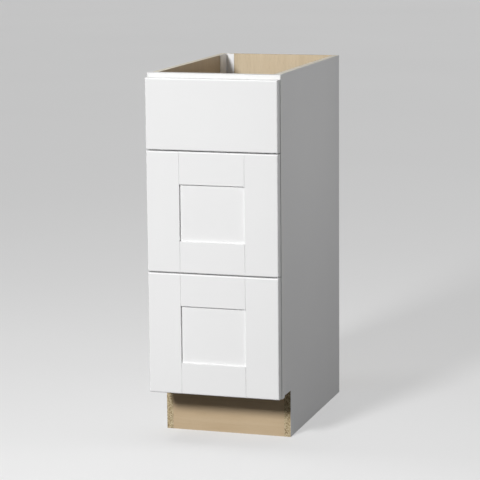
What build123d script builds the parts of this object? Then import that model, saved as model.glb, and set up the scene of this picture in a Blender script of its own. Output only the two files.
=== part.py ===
from build123d import *
import os

# A vanity drawer base cabinet: a face-frame carcass with three drawers on ball slides.
# Millimetres, +Z up, drawer fronts towards -Y, origin on the floor under the middle.
os.makedirs("parts", exist_ok=True)

# Overall size, with the drawer fronts
width = 304.8
height = 825.5
depth = 533.4

# Carcass boards
side_thickness = 15.0
back_thickness = 6.35
back_lap = 7.0  # lap of the back panel into each side panel's rabbet
deck_thickness = 12.7
deck_lap = 6.0  # length of the deck in each side panel's groove
toe_height = 107.95
toe_depth = 83.05  # from the face frame's front to the notched edge of the side panels
toe_board_thickness = 12.7
toe_board_setback = 0.3
groove_slack = 0.2  # room around each board in its groove
angle_thickness = 1.6
angle_side_leg = 50.0
angle_back_leg = 20.0
right_angle_drop = 38.1  # the left angle reaches the top, the right one ends this far below it

# Face frame
frame_thickness = 19.05
frame_overhang = 4.75  # past each side panel
stile_width = 38.1
top_rail_height = 38.1
mid_rail_height = 38.1
bottom_rail_height = 38.1
frame_edge_radius = 0.8

# Drawer fronts
front_thickness = 19.05
front_side_reveal = 1.2
front_top_reveal = 9.5
front_bottom_reveal = 2.45
front_gap = 2.4
top_front_height = 158.0
bottom_front_extra = 2.6  # the bottom front is this much taller than the middle one
front_edge_radius = 2.8
shaker_stile = 76.2
shaker_top_rail = 72.7
shaker_bottom_rail = 70.5
panel_thickness = 6.35
panel_recess = 5.0
panel_lap = 6.0  # depth of the groove that holds the panel and the tenons
tenon_shoulder = 12.0
joint_ease = 0.4  # bevel along the panel opening and the stiles' inner edges
joint_gap = 0.4  # fine groove at each end of a rail, where it meets the stile
joint_depth = 1.0
bumper_thickness = 1.0
bumper_radius = 4.0
bumper_inset = 14.0

# Drawer boxes
box_wall = 12.7
box_corner_lap = 6.0  # depth of the rabbets that take the box front and back
box_bottom_thickness = 5.0
box_bottom_raise = 9.5
box_bottom_lap = 6.0
box_clearance = 12.7  # above and below each box in its frame opening
box_edge_radius = 1.5
rear_room = 51.9  # behind the slides and the boxes

# Ball slides
slide_space = 12.7  # between the frame opening and the drawer box
slide_height = 35.0
slide_setback = 3.5  # behind the face frame's front
slide_metal = 1.2
slide_bend = 1.0
slide_gap = 0.8  # between a channel's lips and the drawer box
ball_radius = 2.0
ball_slack = 0.15
balls_per_row = 4
cage_length = 80.0
cage_metal = 0.6
cage_slack = 0.3
cage_rim = 1.0
cage_end = 8.0  # from the cage's end to its first ball
cage_margin = 14.0  # least distance from the cage to a channel's end
bracket_metal = 1.6
bracket_height = 28.0
bracket_lap = 30.0
bracket_gap = 1.0

# Screws
screw_radius = 2.0
screw_head_radius = 3.0
screw_head_height = 1.8
screw_head_round = 0.8
screw_slot_length = 3.6
screw_slot_width = 0.9
screw_slot_depth = 1.0
screw_slack = 0.1
slide_screw_length = 8.0
front_screw_length = 25.0
front_screw_inset = 5.0
front_screw_margin = 15.0
head_room = 1.8
runner_screw_inset = 40.0

# Planes across the cabinet, measured from its middle to the right
carcass_half = width / 2 - frame_overhang
inner_half = carcass_half - side_thickness
opening_half = width / 2 - stile_width
box_half = opening_half - slide_space
box_inner = box_half - box_wall
front_half = width / 2 - front_side_reveal
panel_half = front_half - shaker_stile

# Planes from front to back
front_face = -depth / 2
front_back = front_face + front_thickness
frame_front = front_back + bumper_thickness
frame_back = frame_front + frame_thickness
toe_edge = frame_front + toe_depth
back_face = depth / 2
back_inner = back_face - back_thickness
angle_front = back_inner - angle_thickness
slide_front = frame_front + slide_setback
slide_rear = angle_front - rear_room
slide_length = slide_rear - slide_front

# Levels from the floor up; the two lower fronts share what the top front leaves
bottom_front_low = toe_height + front_bottom_reveal
top_front_high = height - front_top_reveal
top_front_low = top_front_high - top_front_height
lower_fronts = top_front_low - bottom_front_low - 2 * front_gap
middle_front_height = (lower_fronts - bottom_front_extra) / 2
middle_front_high = top_front_low - front_gap
middle_front_low = middle_front_high - middle_front_height
bottom_front_high = middle_front_low - front_gap
bottom_rail_top = toe_height + bottom_rail_height
lower_rail_low = bottom_front_high + front_gap / 2 - mid_rail_height / 2
lower_rail_high = lower_rail_low + mid_rail_height
upper_rail_low = middle_front_high + front_gap / 2 - mid_rail_height / 2
upper_rail_high = upper_rail_low + mid_rail_height
top_rail_low = height - top_rail_height
deck_low = bottom_rail_top - deck_thickness

# Slide section: the runner rides inside the channel, with a row of balls above and below
race = 2 * (ball_radius + ball_slack)
runner_height = slide_height - 2 * (slide_metal + race)
ball_x = box_half + slide_space / 2
ball_z = slide_height / 2 - slide_metal - race / 2
cage_outer = opening_half - slide_metal - cage_slack
cage_inner = ball_x - ball_radius - cage_rim
channel_inner = box_half + slide_gap
runner_outer = cage_outer - cage_metal - cage_slack
bracket_end = inner_half - angle_thickness - bracket_gap
slide_screw_rise = runner_height / 2 - slide_metal - screw_head_radius - head_room

# The cage rolls half as far as the drawer and stays inside the channel
drawer_travel = slide_length - cage_length - 2 * cage_margin
cage_front = slide_front + cage_margin + drawer_travel / 2
ball_pitch = (cage_length - 2 * cage_end) / (balls_per_row - 1)
ball_ys = [cage_front + cage_end + ball_pitch * i for i in range(balls_per_row)]

base = (Align.CENTER, Align.CENTER, Align.MIN)  # standing on its place
hung = (Align.CENTER, Align.CENTER, Align.MAX)  # hanging from its place
sides = (("left", -1), ("right", 1))
rails = (
    ("bottom_face_rail", toe_height, bottom_rail_top),
    ("lower_mid_face_rail", lower_rail_low, lower_rail_high),
    ("upper_mid_face_rail", upper_rail_low, upper_rail_high),
    ("top_face_rail", top_rail_low, height),
)
# Each drawer: its name, the levels of its front and the levels of its box
drawers = (
    ("bottom", bottom_front_low, bottom_front_high,
     bottom_rail_top + box_clearance, lower_rail_low - box_clearance),
    ("middle", middle_front_low, middle_front_high,
     lower_rail_high + box_clearance, upper_rail_low - box_clearance),
    ("top", top_front_low, top_front_high,
     upper_rail_high + box_clearance, top_rail_low - box_clearance),
)
slide_levels = [(box_low + box_high) / 2 for _, _, _, box_low, box_high in drawers]


def block(corner, opposite, mode=Mode.ADD):
    """A box between two opposite corners, put into the part being built."""
    with Locations(tuple((a + b) / 2 for a, b in zip(corner, opposite))):
        Box(*[abs(b - a) for a, b in zip(corner, opposite)], mode=mode)


def seats(points, out):
    """Planes where screws or bumpers sit, each facing the given way."""
    return [Plane(point, z_dir=out) for point in points]


def drill(seat_planes, length):
    """Holes for screws of one length, from their seats inward."""
    with Locations(*seat_planes):
        Hole(screw_radius + screw_slack, length + screw_slack)


def rises(level):
    """The two levels, above and below a slide's middle, where its screws sit."""
    return (level - slide_screw_rise, level + slide_screw_rise)


# Screw seats of the slides, by side
def channel_front_seats(s, levels):
    """Through a channel's web into the edge of the face frame's stile."""
    web = s * (opening_half - slide_metal)
    middle = frame_front + frame_thickness / 2
    return seats([(web, middle, z) for level in levels for z in rises(level)], (-s, 0, 0))


def channel_rear_seats(s, levels):
    """Through a channel's web into its rear bracket."""
    web = s * (opening_half - slide_metal)
    middle = slide_rear - bracket_lap / 2
    return seats([(web, middle, z) for level in levels for z in rises(level)], (-s, 0, 0))


def bracket_seats(s, levels):
    """Through a bracket's foot and the corner angle into the back panel."""
    middle = s * (opening_half + bracket_metal + bracket_end) / 2
    seat = angle_front - bracket_metal
    return seats([(middle, seat, z) for level in levels for z in rises(level)], (0, -1, 0))


def runner_seats(s, level):
    """Through a runner's web into the side of the drawer box."""
    web = s * (box_half + slide_metal)
    first = slide_front + runner_screw_inset
    last = slide_rear - runner_screw_inset
    return seats([(web, y, level) for y in (first, (first + last) / 2, last)], (s, 0, 0))


def front_seats(box_low, box_high):
    """From inside the box, through its front board into the drawer front."""
    x = box_inner - front_screw_inset
    low = box_low + box_bottom_raise + box_bottom_thickness + front_screw_margin
    high = box_high - front_screw_margin
    points = [(s * x, front_back + box_wall, z) for _, s in sides for z in (low, high)]
    return seats(points, (0, 1, 0))


# Side panels, notched at the toe, grooved for the deck and rabbeted for the back
for side, s in sides:
    with BuildPart() as side_panel:
        with BuildSketch(Plane.YZ.offset(s * carcass_half)):
            with BuildLine():
                Polyline(
                    (frame_back, toe_height),
                    (toe_edge, toe_height),
                    (toe_edge, 0),
                    (back_face, 0),
                    (back_face, height),
                    (frame_back, height),
                    close=True,
                )
            make_face()
        extrude(amount=-s * side_thickness)
        groove = s * (inner_half + deck_lap + groove_slack)
        block(
            (s * inner_half, frame_back, deck_low - groove_slack),
            (groove, back_inner, deck_low + deck_thickness + groove_slack),
            mode=Mode.SUBTRACT,
        )
        rabbet = s * (inner_half + back_lap + groove_slack)
        block((s * inner_half, back_inner, 0), (rabbet, back_face, height), mode=Mode.SUBTRACT)
    side_panel.part.label = f"{side}_side_panel"
    export_step(side_panel.part, f"parts/{side}_side_panel.step")

# Back panel, set in the side panels' rabbets, flush with their rear edges
with BuildPart() as back_panel:
    back_half = inner_half + back_lap
    block((-back_half, back_inner, 0), (back_half, back_face, height))
    for side, s in sides:
        drill(bracket_seats(s, slide_levels), slide_screw_length)
back_panel.part.label = "back_panel"
export_step(back_panel.part, "parts/back_panel.step")

# Deck, level with the top of the bottom rail
with BuildPart() as deck_panel:
    deck_half = inner_half + deck_lap
    block((-deck_half, frame_back, deck_low), (deck_half, back_inner, deck_low + deck_thickness))
deck_panel.part.label = "deck_panel"
export_step(deck_panel.part, "parts/deck_panel.step")

# Toe board, between the side panels and under the deck
with BuildPart() as toe_board:
    toe_face = toe_edge + toe_board_setback
    block((-inner_half, toe_face, 0), (inner_half, toe_face + toe_board_thickness, deck_low))
toe_board.part.label = "toe_board"
export_step(toe_board.part, "parts/toe_board.step")

# Corner angles, which tie the side panels to the back and carry the slides' rear ends
for side, s in sides:
    angle_low = deck_low + deck_thickness
    angle_high = height if side == "left" else height - right_angle_drop
    with BuildPart() as corner_angle:
        with BuildSketch(Plane.XY.offset(angle_low)):
            with BuildLine():
                Polyline(
                    (s * inner_half, back_inner),
                    (s * inner_half, back_inner - angle_side_leg),
                    (s * (inner_half - angle_thickness), back_inner - angle_side_leg),
                    (s * (inner_half - angle_thickness), angle_front),
                    (s * (inner_half - angle_back_leg), angle_front),
                    (s * (inner_half - angle_back_leg), back_inner),
                    close=True,
                )
            make_face()
        extrude(amount=angle_high - angle_low)
        drill(bracket_seats(s, slide_levels), slide_screw_length)
    corner_angle.part.label = f"{side}_corner_angle"
    export_step(corner_angle.part, f"parts/{side}_corner_angle.step")

# Face-frame stiles, the full height above the toe space
for side, s in sides:
    with BuildPart() as stile:
        block((s * opening_half, frame_front, toe_height), (s * width / 2, frame_back, height))
        front_edges = stile.faces().sort_by(Axis.Y)[0].edges()
        outer_edge = front_edges.filter_by(Axis.Z).sort_by(Axis.X, reverse=s < 0)[-1]
        top_edge = front_edges.filter_by(Axis.X).sort_by(Axis.Z)[-1]
        fillet([outer_edge, top_edge], frame_edge_radius)
        drill(channel_front_seats(s, slide_levels), slide_screw_length)
    stile.part.label = f"{side}_face_stile"
    export_step(stile.part, f"parts/{side}_face_stile.step")

# Face-frame rails, between the stiles; the top rail's upper edge is eased like the stiles
for name, low, high in rails:
    with BuildPart() as rail:
        block((-opening_half, frame_front, low), (opening_half, frame_back, high))
        if name == "top_face_rail":
            front_edges = rail.faces().sort_by(Axis.Y)[0].edges()
            fillet(front_edges.filter_by(Axis.X).sort_by(Axis.Z)[-1], frame_edge_radius)
    rail.part.label = name
    export_step(rail.part, f"parts/{name}.step")

# Slide channels, open towards the drawer, one on each side of each opening
for (name, *_), level in zip(drawers, slide_levels):
    for side, s in sides:
        with BuildPart() as channel:
            with BuildSketch(Plane.XZ.offset(-slide_front)) as section:
                reach = opening_half - channel_inner
                middle = s * (opening_half + channel_inner) / 2
                with Locations((middle, level)):
                    Rectangle(reach, slide_height)
                with Locations((middle - s * slide_metal, level)):
                    Rectangle(reach, slide_height - 2 * slide_metal, mode=Mode.SUBTRACT)
                fillet(section.vertices().group_by(Axis.X, reverse=s < 0)[-1], slide_bend)
            extrude(amount=-slide_length)
            drill(channel_front_seats(s, [level]), slide_screw_length)
            drill(channel_rear_seats(s, [level]), slide_screw_length)
        channel.part.label = f"{name}_{side}_slide_channel"
        export_step(channel.part, f"parts/{name}_{side}_slide_channel.step")

# Rear brackets: a leg along the outside of each channel and a foot on the corner angle
with BuildPart() as slide_brackets:
    for side, s in sides:
        for level in slide_levels:
            low = level - bracket_height / 2
            high = level + bracket_height / 2
            leg_front = slide_rear - bracket_lap
            block(
                (s * opening_half, leg_front, low),
                (s * (opening_half + bracket_metal), angle_front, high),
            )
            block(
                (s * opening_half, angle_front - bracket_metal, low),
                (s * bracket_end, angle_front, high),
            )
        drill(channel_rear_seats(s, slide_levels), slide_screw_length)
        drill(bracket_seats(s, slide_levels), slide_screw_length)
slide_brackets.part.label = "slide_brackets"
export_step(slide_brackets.part, "parts/slide_brackets.step")

# One screw of each length: a round head with a cross slot above the seat, the shank below it
with BuildPart() as slide_screw:
    Cylinder(screw_head_radius, screw_head_height, align=base)
    fillet(slide_screw.edges().group_by(Axis.Z)[-1], screw_head_round)
    Cylinder(screw_radius, slide_screw_length, align=hung)
    with Locations((0, 0, screw_head_height - screw_slot_depth)):
        Box(screw_slot_length, screw_slot_width, screw_head_height, align=base, mode=Mode.SUBTRACT)
        Box(screw_slot_width, screw_slot_length, screw_head_height, align=base, mode=Mode.SUBTRACT)

with BuildPart() as front_screw:
    add(slide_screw.part)
    Cylinder(screw_radius, front_screw_length, align=hung)

# Screws of the channels and their brackets
with BuildPart() as slide_screws:
    for side, s in sides:
        for seat_rule in (channel_front_seats, channel_rear_seats, bracket_seats):
            with Locations(*seat_rule(s, slide_levels)):
                add(slide_screw.part)
slide_screws.part.label = "slide_screws"
export_step(slide_screws.part, "parts/slide_screws.step")

# Ball cages: a strip bent round the runner, with two rows of balls in round holes
for (name, *_), level in zip(drawers, slide_levels):
    with BuildPart() as ball_cages:
        for side, s in sides:
            with BuildSketch(Plane.XZ.offset(-cage_front)):
                reach = cage_outer - cage_inner
                middle = s * (cage_outer + cage_inner) / 2
                with Locations((middle, level)):
                    Rectangle(reach, 2 * ball_z + cage_metal)
                with Locations((middle - s * cage_metal, level)):
                    Rectangle(reach, 2 * ball_z - cage_metal, mode=Mode.SUBTRACT)
            extrude(amount=-cage_length)
            with Locations(*[(s * ball_x, y, level + slide_height / 2) for y in ball_ys]):
                Hole(ball_radius + ball_slack, slide_height)
        for side, s in sides:
            with Locations(*[(s * ball_x, y, level + z) for y in ball_ys for z in (-ball_z, ball_z)]):
                Sphere(ball_radius)
    ball_cages.part.label = f"{name}_ball_cages"
    export_step(ball_cages.part, f"parts/{name}_ball_cages.step")

# Slide runners, screwed to the sides of each drawer box
for (name, *_), level in zip(drawers, slide_levels):
    with BuildPart() as runners:
        for side, s in sides:
            with BuildSketch(Plane.XZ.offset(-slide_front)) as section:
                reach = runner_outer - box_half
                middle = s * (runner_outer + box_half) / 2
                with Locations((middle, level)):
                    Rectangle(reach, runner_height)
                with Locations((middle + s * slide_metal, level)):
                    Rectangle(reach, runner_height - 2 * slide_metal, mode=Mode.SUBTRACT)
                fillet(section.vertices().group_by(Axis.X, reverse=s < 0)[0], slide_bend)
            extrude(amount=-slide_length)
            drill(runner_seats(s, level), slide_screw_length)
    runners.part.label = f"{name}_slide_runners"
    export_step(runners.part, f"parts/{name}_slide_runners.step")

# Drawer boxes: the sides run through, the front and back sit in their rabbets,
# and the bottom sits in a groove round all four boards
for (name, _, _, box_low, box_high), level in zip(drawers, slide_levels):
    lap_half = box_inner + box_corner_lap
    bottom_half = box_inner + box_bottom_lap
    bottom_low = box_low + box_bottom_raise
    bottom_front = front_back + box_wall - box_bottom_lap
    bottom_rear = slide_rear - box_wall + box_bottom_lap
    bottom_groove = (
        (-bottom_half - groove_slack, bottom_front - groove_slack, bottom_low - groove_slack),
        (
            bottom_half + groove_slack,
            bottom_rear + groove_slack,
            bottom_low + box_bottom_thickness + groove_slack,
        ),
    )
    for side, s in sides:
        with BuildPart() as box_side:
            block((s * box_inner, front_back, box_low), (s * box_half, slide_rear, box_high))
            fillet(box_side.edges().group_by(Axis.Z)[-1].filter_by(Axis.Y), box_edge_radius)
            for end, inward in ((front_back, box_wall), (slide_rear, -box_wall)):
                block(
                    (s * box_inner, end, box_low),
                    (s * lap_half, end + inward, box_high),
                    mode=Mode.SUBTRACT,
                )
            block(*bottom_groove, mode=Mode.SUBTRACT)
            drill(runner_seats(s, level), slide_screw_length)
        box_side.part.label = f"{name}_box_{side}_side"
        export_step(box_side.part, f"parts/{name}_box_{side}_side.step")

    for end, low, high in (
        ("front", front_back, front_back + box_wall),
        ("back", slide_rear - box_wall, slide_rear),
    ):
        with BuildPart() as box_end:
            block((-lap_half, low, box_low), (lap_half, high, box_high))
            fillet(box_end.edges().group_by(Axis.Z)[-1].filter_by(Axis.X), box_edge_radius)
            block(*bottom_groove, mode=Mode.SUBTRACT)
            if end == "front":
                drill(front_seats(box_low, box_high), front_screw_length)
        box_end.part.label = f"{name}_box_{end}"
        export_step(box_end.part, f"parts/{name}_box_{end}.step")

    with BuildPart() as box_bottom:
        block(
            (-bottom_half, bottom_front, bottom_low),
            (bottom_half, bottom_rear, bottom_low + box_bottom_thickness),
        )
    box_bottom.part.label = f"{name}_box_bottom"
    export_step(box_bottom.part, f"parts/{name}_box_bottom.step")

# Top drawer front: a plain slab with rounded edges
name, low, high, box_low, box_high = drawers[-1]
with BuildPart() as slab_front:
    block((-front_half, front_face, low), (front_half, front_back, high))
    fillet(slab_front.faces().sort_by(Axis.Y)[0].edges(), front_edge_radius)
    drill(front_seats(box_low, box_high), front_screw_length)
slab_front.part.label = f"{name}_front"
export_step(slab_front.part, f"parts/{name}_front.step")

# Lower drawer fronts: stiles the full height, rails tenoned between them, a flat panel in the groove
panel_front = front_face + panel_recess
panel_back = panel_front + panel_thickness
for name, low, high, box_low, box_high in drawers[:-1]:
    for side, s in sides:
        with BuildPart() as front_stile:
            block((s * panel_half, front_face, low), (s * front_half, front_back, high))
            front_edges = front_stile.faces().sort_by(Axis.Y)[0].edges()
            outer_edge = front_edges.filter_by(Axis.Z).sort_by(Axis.X, reverse=s < 0)[-1]
            fillet(front_edges.filter_by(Axis.X) + [outer_edge], front_edge_radius)
            front_edges = front_stile.faces().sort_by(Axis.Y)[0].edges()
            chamfer(front_edges.filter_by(Axis.Z).sort_by(Axis.X, reverse=s < 0)[0], joint_ease)
            block(
                (s * panel_half, panel_front - groove_slack, low + tenon_shoulder - groove_slack),
                (
                    s * (panel_half + panel_lap + groove_slack),
                    panel_back + groove_slack,
                    high - tenon_shoulder + groove_slack,
                ),
                mode=Mode.SUBTRACT,
            )
            drill(front_seats(box_low, box_high), front_screw_length)
        front_stile.part.label = f"{name}_front_{side}_stile"
        export_step(front_stile.part, f"parts/{name}_front_{side}_stile.step")

    opening_low = low + shaker_bottom_rail
    opening_high = high - shaker_top_rail
    for end, outer, inner, inward in (("bottom", low, opening_low, 1), ("top", high, opening_high, -1)):
        with BuildPart() as front_rail:
            block((-panel_half, front_face, outer), (panel_half, front_back, inner))
            front_edges = front_rail.faces().sort_by(Axis.Y)[0].edges()
            outer_edge = front_edges.filter_by(Axis.X).sort_by(Axis.Z, reverse=inward < 0)[0]
            fillet(outer_edge, front_edge_radius)
            front_edges = front_rail.faces().sort_by(Axis.Y)[0].edges()
            inner_edge = front_edges.filter_by(Axis.X).sort_by(Axis.Z, reverse=inward < 0)[-1]
            chamfer(inner_edge, joint_ease)
            for _, s in sides:
                block(
                    (s * (panel_half - joint_gap), front_face, outer),
                    (s * panel_half, front_face + joint_depth, inner),
                    mode=Mode.SUBTRACT,
                )
                block(
                    (s * panel_half, panel_front, outer + inward * tenon_shoulder),
                    (s * (panel_half + panel_lap), panel_back, inner - inward * panel_lap),
                )
            block(
                (-panel_half - panel_lap, panel_front - groove_slack, inner),
                (
                    panel_half + panel_lap,
                    panel_back + groove_slack,
                    inner - inward * (panel_lap + groove_slack),
                ),
                mode=Mode.SUBTRACT,
            )
            drill(front_seats(box_low, box_high), front_screw_length)
        front_rail.part.label = f"{name}_front_{end}_rail"
        export_step(front_rail.part, f"parts/{name}_front_{end}_rail.step")

    with BuildPart() as front_panel:
        block(
            (-panel_half - panel_lap, panel_front, opening_low - panel_lap),
            (panel_half + panel_lap, panel_back, opening_high + panel_lap),
        )
        drill(front_seats(box_low, box_high), front_screw_length)
    front_panel.part.label = f"{name}_front_panel"
    export_step(front_panel.part, f"parts/{name}_front_panel.step")

# Screws and bumpers of each drawer
for (name, low, high, box_low, box_high), level in zip(drawers, slide_levels):
    with BuildPart() as drawer_screws:
        with Locations(*front_seats(box_low, box_high)):
            add(front_screw.part)
        for side, s in sides:
            with Locations(*runner_seats(s, level)):
                add(slide_screw.part)
    drawer_screws.part.label = f"{name}_drawer_screws"
    export_step(drawer_screws.part, f"parts/{name}_drawer_screws.step")

    with BuildPart() as bumpers:
        x = front_half - bumper_inset
        levels = (low + bumper_inset, high - bumper_inset)
        spots = [(s * x, front_back, z) for _, s in sides for z in levels]
        with Locations(*seats(spots, (0, 1, 0))):
            Cylinder(bumper_radius, bumper_thickness, align=base)
    bumpers.part.label = f"{name}_bumpers"
    export_step(bumpers.part, f"parts/{name}_bumpers.step")

print(f"drawer travel {drawer_travel:.1f} mm, slide length {slide_length:.1f} mm")
for name, low, high, box_low, box_high in drawers:
    print(f"{name} drawer: front {low:.2f} to {high:.2f}, box {box_low:.2f} to {box_high:.2f}")
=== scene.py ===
import math

import bpy
import numpy as np
from mathutils import Matrix, Vector


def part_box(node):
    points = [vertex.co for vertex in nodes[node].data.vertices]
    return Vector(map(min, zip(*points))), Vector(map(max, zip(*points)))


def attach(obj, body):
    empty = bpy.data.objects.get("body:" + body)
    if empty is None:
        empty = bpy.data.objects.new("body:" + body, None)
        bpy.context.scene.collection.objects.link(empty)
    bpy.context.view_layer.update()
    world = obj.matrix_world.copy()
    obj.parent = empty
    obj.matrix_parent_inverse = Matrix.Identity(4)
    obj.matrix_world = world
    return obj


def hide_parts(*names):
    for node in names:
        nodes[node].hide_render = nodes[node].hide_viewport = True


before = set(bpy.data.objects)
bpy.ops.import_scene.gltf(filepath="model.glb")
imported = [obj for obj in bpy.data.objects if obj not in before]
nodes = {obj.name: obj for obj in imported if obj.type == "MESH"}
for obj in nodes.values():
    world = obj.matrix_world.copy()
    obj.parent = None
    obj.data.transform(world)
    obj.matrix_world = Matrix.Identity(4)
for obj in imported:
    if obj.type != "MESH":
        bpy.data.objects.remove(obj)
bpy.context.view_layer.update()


# Side panels: particleboard with a white laminate outside and a maple print inside.
# The boards are cut to shape after laminating, so the toe notch shows the bare chips,
# and the top edges are sealed with a thin cream coat where the countertop will lie.
def rgb(red, green, blue):
    """A colour given as display values from 0 to 255, as the linear RGBA that shaders take."""
    display = np.array([red, green, blue]) / 255
    linear = np.where(display <= 0.04045, display / 12.92, ((display + 0.055) / 1.055) ** 2.4)
    return (*linear.tolist(), 1.0)


def add_node(tree, kind, inputs=None, **settings):
    """One node with its settings. Each input is a value, or a socket that is linked to it."""
    made = tree.nodes.new(kind)
    for name, value in settings.items():
        setattr(made, name, value)
    for name, value in (inputs or {}).items():
        if isinstance(value, bpy.types.NodeSocket):
            tree.links.new(value, made.inputs[name])
        else:
            made.inputs[name].default_value = value
    return made


def math_node(tree, operation, *values):
    """The result of one sum on numbers or sockets."""
    return add_node(tree, "ShaderNodeMath", dict(enumerate(values)), operation=operation).outputs[0]


def weigh(tree, *pairs):
    """The sum of values, each times its own weight, from pairs of a value and a weight."""
    total = 0.0
    for value, weight in pairs:
        total = math_node(tree, "MULTIPLY_ADD", value, weight, total)
    return total


def spread(tree, value, old, new=(0.0, 1.0)):
    """A value moved from its old range, low to high, into the new one, and held inside it."""
    inputs = {"Value": value, "From Min": old[0], "From Max": old[1], "To Min": new[0], "To Max": new[1]}
    return add_node(tree, "ShaderNodeMapRange", inputs).outputs["Result"]


def mix_colour(tree, share, first, second):
    """The first colour with a share of the second. Inputs 6 and 7 of a Mix node are its colours."""
    return add_node(tree, "ShaderNodeMix", {0: share, 6: first, 7: second}, data_type="RGBA").outputs[2]


def stretch(tree, place, factors):
    """A place with each of its three coordinates times its own factor."""
    return add_node(tree, "ShaderNodeVectorMath", {0: place, 1: factors}, operation="MULTIPLY").outputs[0]


def noise(tree, place, per_metre, detail=2.0, roughness=0.5, draw=None):
    """Cloudy noise from 0 to 1, with so many features to the metre.

    draw gives a factor for each axis, and a small one draws the pattern out along its axis.
    """
    if draw is not None:
        place = stretch(tree, place, draw)
    inputs = {"Vector": place, "Scale": per_metre, "Detail": detail, "Roughness": roughness}
    return add_node(tree, "ShaderNodeTexNoise", inputs).outputs[0]


def axis_of(tree, place, axis):
    """One coordinate of a place."""
    return add_node(tree, "ShaderNodeSeparateXYZ", {0: place}).outputs[axis]


def new_group(name, inputs, outputs):
    """An empty shader node group with sockets of the given kinds: its tree, its inputs and its ends."""
    tree = bpy.data.node_groups.new(name, "ShaderNodeTree")
    for way, sockets in (("INPUT", inputs), ("OUTPUT", outputs)):
        for title, kind in sockets.items():
            tree.interface.new_socket(title, in_out=way, socket_type=f"NodeSocket{kind}")
    given = tree.nodes.new("NodeGroupInput").outputs
    return tree, given, tree.nodes.new("NodeGroupOutput").inputs


def give(tree, ends, **results):
    """Links a group's results to its ends."""
    for title, value in results.items():
        tree.links.new(value, ends[title])


def use_group(tree, name, **inputs):
    """The outputs of a node group placed in a material, with its own values."""
    return add_node(tree, "ShaderNodeGroup", inputs, node_tree=bpy.data.node_groups[name]).outputs


def new_material(name, **plain):
    """A material with a Principled shader: its tree, its shader and the place on the piece."""
    made = bpy.data.materials.new(name)
    made.use_nodes = True
    tree = made.node_tree
    shader = tree.nodes["Principled BSDF"]
    for title, value in plain.items():
        shader.inputs[title.replace("_", " ")].default_value = value
    place = tree.nodes.new("ShaderNodeTexCoord").outputs["Object"]
    return made, tree, shader, place


def finish_material(tree, shader, colour, roughness, height=None, relief=None):
    """Links colour, roughness and a bump of the given relief in metres to the shader."""
    tree.links.new(colour, shader.inputs["Base Color"])
    tree.links.new(roughness, shader.inputs["Roughness"])
    if height is not None:
        bump = add_node(tree, "ShaderNodeBump", {"Height": height, "Strength": 1.0, "Distance": relief})
        tree.links.new(bump.outputs[0], shader.inputs["Normal"])


def dress(material, *names):
    """Puts a material on CAD nodes."""
    for name in names:
        nodes[name].material_slots[0].material = material


# Maple: long soft bands along Z, fine fibres, short dark pores and a slow drift of tone.
# The flat boards carry it as a print, and the drawer boxes are the real wood.
film_inputs = {"Vector": "Vector", "Pale": "Color", "Dark": "Color"}
film_ends = {"Color": "Color", "Height": "Float", "Roughness": "Float"}
side_sway = (0.03, 0.03, 0)  # metres that the bands wander, across the grain only
pore_colour = rgb(150, 120, 88)
pore_share = 0.3
tree, given, ends = new_group("maple_print", film_inputs, film_ends)
sway = noise(tree, given["Vector"], per_metre=5, draw=(1, 1, 0.35))
swayed = add_node(
    tree, "ShaderNodeVectorMath", {0: sway, 1: side_sway, 2: given["Vector"]}, operation="MULTIPLY_ADD"
).outputs[0]
bands = noise(tree, swayed, per_metre=60, detail=3, roughness=0.6, draw=(1, 1, 0.06))
fibres = noise(tree, swayed, per_metre=700, roughness=0.6, draw=(1, 1, 0.02))
flecks = noise(tree, given["Vector"], per_metre=1500, detail=1, draw=(1, 1, 0.04))
pores = spread(tree, flecks, (0.64, 0.74))
drift = noise(tree, given["Vector"], per_metre=6)
tone = weigh(tree, (bands, 0.7), (fibres, 0.3), (drift, 0.75))
wood = mix_colour(tree, spread(tree, tone, (0.5, 1.25)), given["Pale"], given["Dark"])
give(
    tree, ends,
    Color=mix_colour(tree, math_node(tree, "MULTIPLY", pores, pore_share), wood, pore_colour),
    Height=weigh(tree, (fibres, 0.3), (pores, -1.0)),
    Roughness=spread(tree, fibres, (0.3, 0.7), (0.42, 0.52)),
)


# Bare particleboard: flat chips of several tones, fine ones between the coarse, and small dark pits.
# It shows wherever a board has no facing, as on its cut edges. Fibreboard is the same, but more even.
def chip_tones(tree, place, per_metre):
    """A tone from 0 to 1 for each chip, with so many chips to the metre."""
    chips = add_node(tree, "ShaderNodeTexVoronoi", {"Vector": place, "Scale": per_metre})
    return add_node(tree, "ShaderNodeSeparateColor", {0: chips.outputs["Color"]}).outputs[0]


finer = 2.7  # fine chips along a coarse one
pit_colour = rgb(118, 94, 66)
pit_share = 0.6
board_tone = rgb(184, 162, 126)
tree, given, ends = new_group(
    "bare_chips",
    {"Vector": "Vector", "Chips": "Float", "Even": "Float"},
    {"Color": "Color", "Height": "Float"},
)
coarse = chip_tones(tree, given["Vector"], given["Chips"])
fine = chip_tones(tree, given["Vector"], math_node(tree, "MULTIPLY", given["Chips"], finer))
tone = weigh(tree, (coarse, 0.6), (fine, 0.4))
ramp = add_node(tree, "ShaderNodeValToRGB", {0: tone})
stops = ramp.color_ramp.elements
stops[0].position, stops[0].color = 0.12, rgb(112, 90, 62)
stops[1].position, stops[1].color = 0.9, rgb(224, 210, 178)
stops.new(0.28).color = rgb(166, 144, 109)
stops.new(0.6).color = rgb(199, 182, 147)
pits = spread(tree, noise(tree, given["Vector"], per_metre=520), (0.58, 0.68))
pitted = mix_colour(tree, math_node(tree, "MULTIPLY", pits, pit_share), ramp.outputs[0], pit_colour)
uneven = math_node(tree, "SUBTRACT", 1.0, given["Even"])
give(
    tree, ends,
    Color=mix_colour(tree, given["Even"], pitted, board_tone),
    Height=math_node(tree, "MULTIPLY", math_node(tree, "SUBTRACT", tone, pits), uneven),
)

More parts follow.
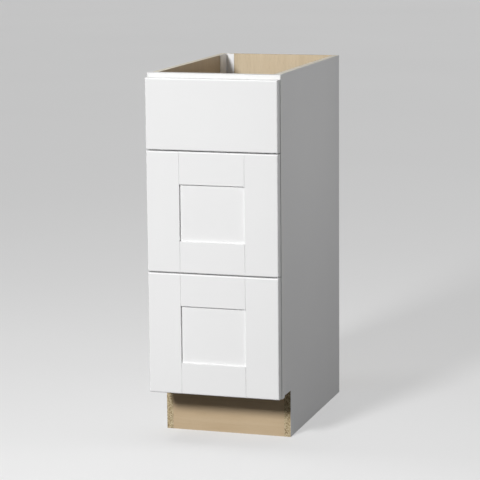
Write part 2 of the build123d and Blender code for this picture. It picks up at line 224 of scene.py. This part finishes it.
side_low, side_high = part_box("right_side_panel")
side_face = side_high.x
side_thickness = side_high.x - side_low.x
skin = 0.0003  # laminate, print, and the coat on the top edge
side_chips = 330.0  # to the metre
chip_squeeze = (1.8, 1, 1)  # chips lie flat in the board
bare_roughness = 0.85
laminate_roughness = 0.47
grain_share = 0.15  # of the chips' relief
laminate_share = 0.1
side_relief = 0.0003
# The sides' and deck's maple print is darker than the back's. This is painted shade, standing for the
# shade on the cabinet's inside faces.
shaded_maple_pale = rgb(196, 180, 155)
shaded_maple_dark = rgb(177, 159, 132)

side_board, tree, shader, place = new_material("side_board", Specular_IOR_Level=0.35)
depth = math_node(tree, "SUBTRACT", side_face, math_node(tree, "ABSOLUTE", axis_of(tree, place, "X")))
outside = math_node(tree, "LESS_THAN", depth, skin)
inside = math_node(tree, "GREATER_THAN", depth, side_thickness - skin)
sealed = math_node(tree, "GREATER_THAN", axis_of(tree, place, "Z"), side_high.z - skin)
print_look = use_group(tree, "maple_print", Vector=place, Pale=shaded_maple_pale, Dark=shaded_maple_dark)
chip_place = stretch(tree, place, chip_squeeze)
chip_look = use_group(tree, "bare_chips", Vector=chip_place, Chips=side_chips, Even=0.0)
laminate = mix_colour(tree, noise(tree, place, per_metre=4), rgb(228, 228, 229), rgb(233, 233, 233))
brushed = noise(tree, place, per_metre=150, detail=3)
cream = mix_colour(tree, brushed, rgb(226, 219, 203), rgb(236, 230, 216))
colour = mix_colour(tree, sealed, chip_look["Color"], cream)
colour = mix_colour(tree, inside, colour, print_look["Color"])
colour = mix_colour(tree, outside, colour, laminate)
faced = math_node(tree, "MAXIMUM", outside, inside)
matt = spread(tree, faced, (0, 1), (bare_roughness, laminate_roughness))
height = weigh(
    tree,
    (chip_look["Height"], math_node(tree, "SUBTRACT", 1.0, faced)),
    (print_look["Height"], math_node(tree, "MULTIPLY", inside, grain_share)),
    (noise(tree, place, per_metre=1200, detail=1), math_node(tree, "MULTIPLY", outside, laminate_share)),
)
finish_material(tree, shader, colour, matt, height, side_relief)
dress(side_board, "left_side_panel", "right_side_panel")


# Back panel, deck and toe board: thin fibreboard and particleboard with the same maple print, its tone
# made paler on the back as painted light.
# The back lies in the side panels' rabbets, the deck in their grooves, the toe board between them;
# each shows its print towards the room or the drawers and stays bare on its hidden face.
def turned(tree, place, turn):
    """A place turned about the origin, so that a grain along Z runs another way."""
    return add_node(tree, "ShaderNodeMapping", {"Vector": place, "Rotation": turn}).outputs[0]


def printed_board(name, turn, axis, printed_at, core, pale, dark):
    """A board whose print lies on the plane printed_at along an axis, bare everywhere else.

    core gives the bare board's chips to the metre, and how far they blend into one even tone.
    """
    chips, even = core
    made, tree, shader, place = new_material(name, Specular_IOR_Level=0.2)
    look = use_group(tree, "maple_print", Vector=turned(tree, place, turn), Pale=pale, Dark=dark)
    bare = use_group(tree, "bare_chips", Vector=place, Chips=chips, Even=even)
    printed = math_node(tree, "COMPARE", axis_of(tree, place, axis), printed_at, skin)
    colour = mix_colour(tree, printed, bare["Color"], look["Color"])
    roughness = spread(tree, printed, (0, 1), (bare_roughness, print_roughness))
    height = weigh(
        tree,
        (bare["Height"], math_node(tree, "SUBTRACT", 1.0, printed)),
        (look["Height"], math_node(tree, "MULTIPLY", printed, grain_share)),
    )
    finish_material(tree, shader, colour, roughness, height, board_relief)
    return made


print_roughness = 0.48
board_relief = 0.0002
fibreboard = (900.0, 0.7)
particleboard = (260.0, 0.0)
upright = (0, 0, 0)
along_x = (0, math.pi / 2, 0)
along_y = (math.pi / 2, 0, 0)
back_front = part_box("back_panel")[0].y
deck_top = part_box("deck_panel")[1].z
toe_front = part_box("toe_board")[0].y
# The back's maple print is paler than the sides'. This is painted light, standing for the key lamp's
# light on the back.
lit_back_pale = rgb(220, 205, 179)
lit_back_dark = rgb(200, 183, 154)
toe_pale = rgb(210, 189, 158)
toe_dark = rgb(190, 166, 133)
back_board = printed_board("back_board", upright, "Y", back_front, fibreboard, lit_back_pale, lit_back_dark)
deck_board = printed_board("deck_board", along_y, "Z", deck_top, particleboard, shaded_maple_pale, shaded_maple_dark)
toe_print = printed_board("toe_print", along_x, "Y", toe_front, particleboard, toe_pale, toe_dark)
dress(back_board, "back_panel")
dress(deck_board, "deck_panel")
dress(toe_print, "toe_board")


# Corner angles: extruded matt white plastic, with faint lines from the die running up them.
# They tie the side panels to the back in the two rear corners and carry the slides' rear brackets.
die_relief = 0.00005
angle_plastic, tree, shader, place = new_material("angle_plastic", IOR=1.48)
lines = noise(tree, place, per_metre=900, draw=(1, 1, 0.01))
colour = mix_colour(tree, noise(tree, place, per_metre=12), rgb(237, 239, 241), rgb(242, 243, 245))
finish_material(tree, shader, colour, spread(tree, lines, (0.3, 0.7), (0.38, 0.48)), lines, die_relief)
dress(angle_plastic, "left_corner_angle", "right_corner_angle")


# Face frame: hardwood stiles and rails, sprayed satin white before the sides are fixed to it.
# The grain still shows a little under the paint, up the stiles and across the rails.
tree, given, ends = new_group("paint_film", film_inputs, film_ends)
peel = noise(tree, given["Vector"], per_metre=700, detail=1)
grain = noise(tree, given["Vector"], per_metre=350, roughness=0.6, draw=(1, 1, 0.03))
cloud = noise(tree, given["Vector"], per_metre=9)
give(
    tree, ends,
    Color=mix_colour(tree, cloud, given["Pale"], given["Dark"]),
    Height=weigh(tree, (peel, 0.6), (grain, 0.4)),
    Roughness=spread(tree, math_node(tree, "ADD", peel, cloud), (0.6, 1.4), (0.34, 0.44)),
)


def painted(name, turn, pale, dull):
    """Satin white paint whose hidden grain runs the way the turn gives."""
    made, tree, shader, place = new_material(name)
    film = use_group(tree, "paint_film", Vector=turned(tree, place, turn), Pale=pale, Dark=dull)
    finish_material(tree, shader, film["Color"], film["Roughness"], film["Height"], paint_relief)
    return made


paint_relief = 0.00004
frame_pale = rgb(231, 231, 230)
frame_dull = rgb(227, 227, 226)
dress(painted("frame_paint_up", upright, frame_pale, frame_dull), "left_face_stile", "right_face_stile")
dress(
    painted("frame_paint_across", along_x, frame_pale, frame_dull),
    "bottom_face_rail", "lower_mid_face_rail", "upper_mid_face_rail", "top_face_rail",
)


# Slide brackets, screws and ball cages: steel, zinc plated, with the marks of rolling along Y.
# The brackets are screwed to the corner angles and the back, and carry the rear ends of the channels.
zinc_relief = 0.00003
zinc_plate, tree, shader, place = new_material("zinc_plate", Metallic=1.0)
rolling = noise(tree, place, per_metre=1100, detail=3, roughness=0.65, draw=(1, 0.015, 1))
cloud = noise(tree, place, per_metre=45, detail=3)
dullness = spread(tree, math_node(tree, "ADD", rolling, cloud), (0.7, 1.3))
colour = mix_colour(tree, dullness, rgb(208, 210, 213), rgb(184, 186, 189))
finish_material(tree, shader, colour, spread(tree, cloud, (0.3, 0.7), (0.28, 0.42)), rolling, zinc_relief)
levels = ("top", "middle", "bottom")
dress(zinc_plate, "slide_brackets", "slide_screws")
for level in levels:
    dress(zinc_plate, f"{level}_ball_cages", f"{level}_drawer_screws")


# Slide channels and runners: zinc-plated strip, rolled to a round groove along each flange for the balls.
# A channel is screwed to the stile and to its bracket, and cups its balls from outside.
# The runner is screwed to the drawer box, and cups the same balls from inside.
def bend(centre, radius, first, last):
    """Points (u, v) = centre + radius (cos a, sin a), for the angle a from first to last in degrees."""
    turn = np.radians(np.linspace(first, last, bend_points))
    return np.array(centre) + radius * np.stack([np.cos(turn), np.sin(turn)], axis=1)


def new_piece(name, places, faces, material):
    """A mesh object from an array of places and an array of faces."""
    mesh = bpy.data.meshes.new(name)
    mesh.from_pydata(places.tolist(), [], faces.tolist())
    mesh.materials.append(material)
    made = bpy.data.objects.new(name, mesh)
    bpy.context.scene.collection.objects.link(made)
    return made


def rolled_strip(node, half_path, hands, y_range, z_middle, body):
    """Strip steel along a path, drawn out straight from front to rear, in place of a node.

    half_path gives (u, v) from the middle of the web to a lip: u from the stile's edge towards the
    drawer, v upward from the slide's middle. The other half is its mirror image, v to -v. With n1 and
    n2 the unit normals of the two parts that meet at a point, the two skins stand off the path by
    (n1 + n2) / (1 + n1 n2) times half the metal, one to each side.
    Each hand (edge, way) sets the section at x = edge + way u and z = z_middle + v.
    """
    mirrored = half_path[:0:-1] * (1, -1)
    path = np.concatenate([mirrored, half_path])
    run = np.diff(path, axis=0)
    normal = np.stack([-run[:, 1], run[:, 0]], axis=1) / np.linalg.norm(run, axis=1, keepdims=True)
    before = np.concatenate([normal[:1], normal])
    after = np.concatenate([normal, normal[-1:]])
    mitre = (before + after) / (1 + (before * after).sum(axis=1, keepdims=True))
    loop = np.concatenate([path + mitre * metal / 2, (path - mitre * metal / 2)[::-1]])
    count = len(loop)
    here = np.arange(count)
    ahead = (here + 1) % count
    walls = np.stack([here, ahead, ahead + count, here + count], axis=1)
    low = np.arange(len(path) - 1)
    cap = np.stack([low, low + 1, count - 2 - low, count - 1 - low], axis=1)
    section = np.concatenate([walls, cap[:, ::-1], cap + count])
    places, faces = [], []
    for edge, way in hands:
        ring = np.stack([edge + way * loop[:, 0], np.zeros(count), z_middle + loop[:, 1]], axis=1)
        faces.append((section[:, ::-1] if way < 0 else section) + 2 * count * len(faces))
        places += [ring + (0, y, 0) for y in y_range]
    made = new_piece(f"{node}_rolled", np.concatenate(places), np.concatenate(faces), zinc_plate)
    made.data.shade_smooth()
    made.data.set_sharp_from_angle(angle=crease)
    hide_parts(node)
    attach(made, body)


metal = 0.0012  # thickness of the strip
slide_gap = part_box("right_face_stile")[0].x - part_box("top_box_right_side")[1].x
bend_points = 17
bend_radius = 0.0011  # of the strip's middle line, between the web and a flange
crease = math.radians(30)  # steeper edges stay sharp
ball_middle = (0.00635, 0.01415)  # u and v of a row of balls
groove = 0.00275  # radius of the strip's middle line round the balls
groove_half = 65  # degrees that a groove reaches to either side
channel_web = metal / 2
channel_flange = 0.0153
channel_lip = [(0.0100, 0.0154), (0.0110, 0.0149)]
runner_web = slide_gap - metal / 2
runner_flange = 0.0130
runner_lip = [(0.0029, runner_flange)]
channel_path = np.concatenate([
    [(channel_web, 0.0)],
    bend((channel_web + bend_radius, channel_flange - bend_radius), bend_radius, 180, 90),
    bend(ball_middle, groove, 90 + groove_half, 90 - groove_half),
    channel_lip,
])
runner_path = np.concatenate([
    [(runner_web, 0.0)],
    bend((runner_web - bend_radius, runner_flange - bend_radius), bend_radius, 0, 90),
    bend(ball_middle, groove, 270 + groove_half, 270 - groove_half),
    runner_lip,
])
for level in levels:
    low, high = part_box(f"{level}_right_slide_channel")
    y_range = (low.y, high.y)
    z_middle = (low.z + high.z) / 2
    hands = {"left": (-high.x, 1), "right": (high.x, -1)}
    for side, hand in hands.items():
        rolled_strip(f"{level}_{side}_slide_channel", channel_path, [hand], y_range, z_middle, "carcass")
    both = hands.values()
    rolled_strip(f"{level}_slide_runners", runner_path, both, y_range, z_middle, f"{level}_drawer")


# Drawer boxes: clear-coated light maple boards, rabbeted at the corners, with the bottom in a groove.
# The grain runs along each board.
def box_wood(name, turn):
    """Clear-coated maple with its grain along the way the turn gives."""
    made, tree, shader, place = new_material(name, Coat_Weight=0.25, Coat_Roughness=0.25)
    look = use_group(tree, "maple_print", Vector=turned(tree, place, turn), Pale=box_pale, Dark=box_dark)
    finish_material(tree, shader, look["Color"], look["Roughness"], look["Height"], box_relief)
    return made


box_pale = rgb(222, 201, 168)
box_dark = rgb(198, 172, 134)
box_relief = 0.00005
side_wood = box_wood("box_side_wood", along_y)
end_wood = box_wood("box_end_wood", along_x)
for level in levels:
    dress(side_wood, f"{level}_box_left_side", f"{level}_box_right_side", f"{level}_box_bottom")
    dress(end_wood, f"{level}_box_front", f"{level}_box_back")


# Drawer fronts: a slab on top and two framed fronts below, sprayed satin white all over.
# Stiles run the full height with the rails tenoned between them, so a fine line shows at each joint.
front_pale = rgb(238, 238, 238)
front_dull = rgb(234, 234, 234)
front_up = painted("front_paint_up", upright, front_pale, front_dull)
front_across = painted("front_paint_across", along_x, front_pale, front_dull)
dress(front_across, "top_front")
for level in levels[1:]:
    dress(front_up, f"{level}_front_left_stile", f"{level}_front_right_stile", f"{level}_front_panel")
    dress(front_across, f"{level}_front_top_rail", f"{level}_front_bottom_rail")


# Bumpers: small round pads of soft translucent rubber, stuck to the back of each front.
# They meet the face frame when a drawer shuts.
bumper_pad, tree, shader, place = new_material("bumper_pad", Transmission_Weight=0.5, IOR=1.45)
colour = mix_colour(tree, noise(tree, place, per_metre=400), rgb(224, 224, 220), rgb(212, 212, 206))
gloss = spread(tree, noise(tree, place, per_metre=900, detail=1), (0.3, 0.7), (0.25, 0.4))
finish_material(tree, shader, colour, gloss)
for level in levels:
    dress(bumper_pad, f"{level}_bumpers")


# Floor: a wide flat grid, plain and pale.
# It gives back less light than it shows, so the cabinet's unlit side stays quiet.
def seen_rays(tree):
    """1 for rays that show a surface, straight or in metal or glass, and 0 for rays that carry light."""
    rays = add_node(tree, "ShaderNodeLightPath").outputs
    mirrored = math_node(tree, "MAXIMUM", rays["Is Glossy Ray"], rays["Is Transmission Ray"])
    return math_node(tree, "MAXIMUM", rays["Is Camera Ray"], mirrored)


floor_reach = 40.0
floor_cells = 8
given_back = rgb(70, 70, 70)
no_glow = rgb(0, 0, 0)
floor_paint, tree, shader, place = new_material(
    "floor_paint", Roughness=0.9, Specular_IOR_Level=0.1, Emission_Strength=1.1
)
seen = seen_rays(tree)
shown = mix_colour(tree, noise(tree, place, per_metre=0.5), rgb(168, 168, 168), rgb(171, 171, 171))
tree.links.new(mix_colour(tree, seen, given_back, shown), shader.inputs["Base Color"])
tree.links.new(mix_colour(tree, seen, no_glow, shown), shader.inputs["Emission Color"])
steps = np.linspace(-floor_reach, floor_reach, floor_cells + 1)
grid_x, grid_y = np.meshgrid(steps, steps)
corners = np.stack([grid_x, grid_y, np.zeros_like(grid_x)], axis=2).reshape(-1, 3)
number = np.arange(len(corners)).reshape(grid_x.shape)
cells = np.stack([number[:-1, :-1], number[:-1, 1:], number[1:, 1:], number[1:, :-1]], axis=2)
new_piece("floor", corners, cells.reshape(-1, 4), floor_paint)


# Studio light: a soft key lamp at the front left, a small low fill at the right and a lamp overhead.
# The sky gives a weak light, less from above and from the front, and more from straight behind.
def lamp(name, size, energy, beam, place, aim):
    """A round soft lamp that faces a point, hidden from the camera. The beam is in degrees."""
    light = bpy.data.lights.new(name, "AREA")
    light.shape = "DISK"
    light.size = size
    light.energy = energy
    light.spread = math.radians(beam)
    made = bpy.data.objects.new(name, light)
    made.location = place
    made.rotation_euler = (Vector(aim) - Vector(place)).to_track_quat("-Z", "Y").to_euler()
    made.visible_camera = False
    bpy.context.scene.collection.objects.link(made)


lamp("key", size=0.85, energy=55.0, beam=100, place=(-1.0, -4.0, 2.36), aim=(0.0, -0.25, -0.05))
lamp("fill", size=0.2, energy=2.2, beam=180, place=(1.2, 0.0, 0.80), aim=(0.15, 0.0, 0.80))
lamp("overhead", size=0.5, energy=8.0, beam=180, place=(-1.0, -0.2, 2.4), aim=(0.0, 0.0, 0.8))

ambient = 0.28
overhead_share = 0.3
ahead_share = 0.6
behind_share = 1.2
rear_share = 9.0
rear_edge = 0.75  # the rear light starts where a way's Y passes this
backdrop = 0.62
world = bpy.data.worlds.new("studio")
bpy.context.scene.world = world
world.use_nodes = True
tree = world.node_tree
background = tree.nodes["Background"].inputs
way = add_node(tree, "ShaderNodeTexCoord").outputs["Generated"]
rearward = axis_of(tree, way, "Y")
overhead = spread(tree, axis_of(tree, way, "Z"), (0, 1), (1, overhead_share))
along = spread(tree, rearward, (-1, 1), (ahead_share, behind_share))
along = math_node(tree, "ADD", along, spread(tree, rearward, (rear_edge, 1), (0, rear_share)))
given_light = math_node(tree, "MULTIPLY", ambient, math_node(tree, "MULTIPLY", overhead, along))
tree.links.new(spread(tree, seen_rays(tree), (0, 1), (given_light, backdrop)), background["Strength"])
background["Color"].default_value = (1.0, 1.0, 1.0, 1.0)


# Camera: a long lens, a little above the cabinet and to its right, turned towards it and down,
# with a slight roll.
camera_place = Vector((1.3970, -4.48907, 1.24445))
camera_yaw = math.radians(17.518)
camera_pitch = math.radians(9.978)
camera_roll = math.radians(-0.54)
focal_pixels = 2059.48
picture_pixels = 480
film_width = 36.0  # millimetres
view_way = Vector((
    -math.sin(camera_yaw) * math.cos(camera_pitch),
    math.cos(camera_yaw) * math.cos(camera_pitch),
    -math.sin(camera_pitch),
))
level_right = view_way.cross(Vector((0, 0, 1))).normalized()
level_up = level_right.cross(view_way)
right = level_right * math.cos(camera_roll) + level_up * math.sin(camera_roll)
up = level_up * math.cos(camera_roll) - level_right * math.sin(camera_roll)
lens = bpy.data.cameras.new("camera")
lens.sensor_width = film_width
lens.lens = film_width * focal_pixels / picture_pixels
camera = bpy.data.objects.new("camera", lens)
camera.matrix_world = Matrix((right, up, -view_way)).transposed().to_4x4()
camera.location = camera_place
bpy.context.scene.collection.objects.link(camera)
bpy.context.scene.camera = camera
bpy.context.scene.view_settings.view_transform = "Standard"
